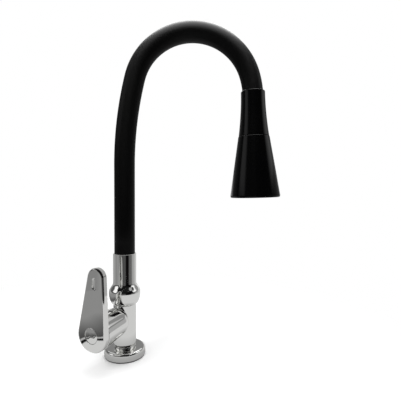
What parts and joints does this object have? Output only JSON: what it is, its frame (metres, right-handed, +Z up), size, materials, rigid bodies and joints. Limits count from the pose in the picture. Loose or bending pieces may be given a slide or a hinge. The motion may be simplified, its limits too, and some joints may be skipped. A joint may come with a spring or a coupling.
{
  "type": "pre rinse faucet",
  "caption": "Deck-mounted pillar tap with a side lever, a flexible black gooseneck hose arching forward and a cone-shaped spray head.",
  "frame": {"origin": "centre of the gasket's underside, on the deck's top surface, on the column's axis", "axes": "+Z up along the column; +X towards the spray head; the valve branch points to -Y, turned 27 degrees towards -X"},
  "size_m": [0.2246, 0.0861, 0.4529],
  "materials": {
    "polished_chrome": "polished chrome plate on brass and zinc",
    "black_silicone": "smooth matte black silicone",
    "black_rubber": "moulded black rubber",
    "gloss_black": "gloss black moulded plastic",
    "brass": "turned brass",
    "stainless_steel": "stainless steel, as drawn or stamped",
    "white_plastic": "natural white moulded plastic",
    "ceramic": "lapped white ceramic"
  },
  "bodies": {
    "column": {"base_gasket": "black_rubber", "base_flange": "polished_chrome", "faucet_body": "polished_chrome", "shank_seal": "black_rubber", "inlet_shank": "brass", "deck_washer": "black_rubber", "steel_washer": "stainless_steel", "mounting_nut": "brass", "seat_seal": "black_rubber", "fixed_disc": "ceramic", "cartridge_body": "brass", "cartridge_oring": "black_rubber", "retaining_ring": "white_plastic"},
    "lever": {"lever_handle": "polished_chrome", "lever_screw": "stainless_steel", "lever_cap": "polished_chrome", "valve_spindle": "brass", "moving_disc": "ceramic"},
    "riser": {"swivel_collar": "polished_chrome", "swivel_nipple": "brass", "swivel_orings": "black_rubber", "hose_ferrule": "brass", "riser_sleeve": "black_silicone", "riser_gooseneck": "stainless_steel", "riser_tube": "white_plastic"},
    "arch": {"arch_sleeve": "black_silicone", "arch_gooseneck": "stainless_steel", "arch_tube": "white_plastic"},
    "front": {"front_sleeve": "black_silicone", "front_gooseneck": "stainless_steel", "front_tube": "white_plastic", "hose_nipple": "brass", "head_collar": "gloss_black", "hose_washer": "black_rubber", "filter_screen": "stainless_steel", "head_core": "white_plastic", "core_oring": "black_rubber", "core_clip": "stainless_steel"},
    "cone": {"cone_shell": "gloss_black", "jet_tube": "white_plastic", "diverter_disc": "black_rubber", "spray_plate": "gloss_black", "spray_nozzles": "black_rubber", "aerator_housing": "stainless_steel", "aerator_mesh": "stainless_steel"}
  },
  "joints": [
    {"name": "lever_turn", "type": "hinge", "parent": "column", "child": "lever", "pos_m": [0, 0, 0.0425], "axis": [-0.454, -0.891, 0], "range_deg": [0, 90]},
    {"name": "spout_swivel", "type": "hinge", "parent": "column", "child": "riser", "pos_m": [0, 0, 0.07], "axis": [0, 0, 1], "continuous": true},
    {"name": "riser_bend", "type": "hinge", "parent": "riser", "child": "arch", "pos_m": [0, 0, 0.226], "axis": [0, 1, 0], "range_deg": [-20, 30], "deforming": ["riser_sleeve", "riser_gooseneck", "riser_tube", "arch_sleeve", "arch_gooseneck", "arch_tube"]},
    {"name": "arch_bend", "type": "hinge", "parent": "arch", "child": "front", "pos_m": [0.07976, 0, 0.38088], "axis": [0, 1, 0], "range_deg": [-30, 20], "deforming": ["front_sleeve", "front_gooseneck", "front_tube"]},
    {"name": "spray_select", "type": "hinge", "parent": "front", "child": "cone", "pos_m": [0.15049, 0, 0.30576], "axis": [0.0314, 0, -0.9995], "range_deg": [0, 90]}
  ]
}
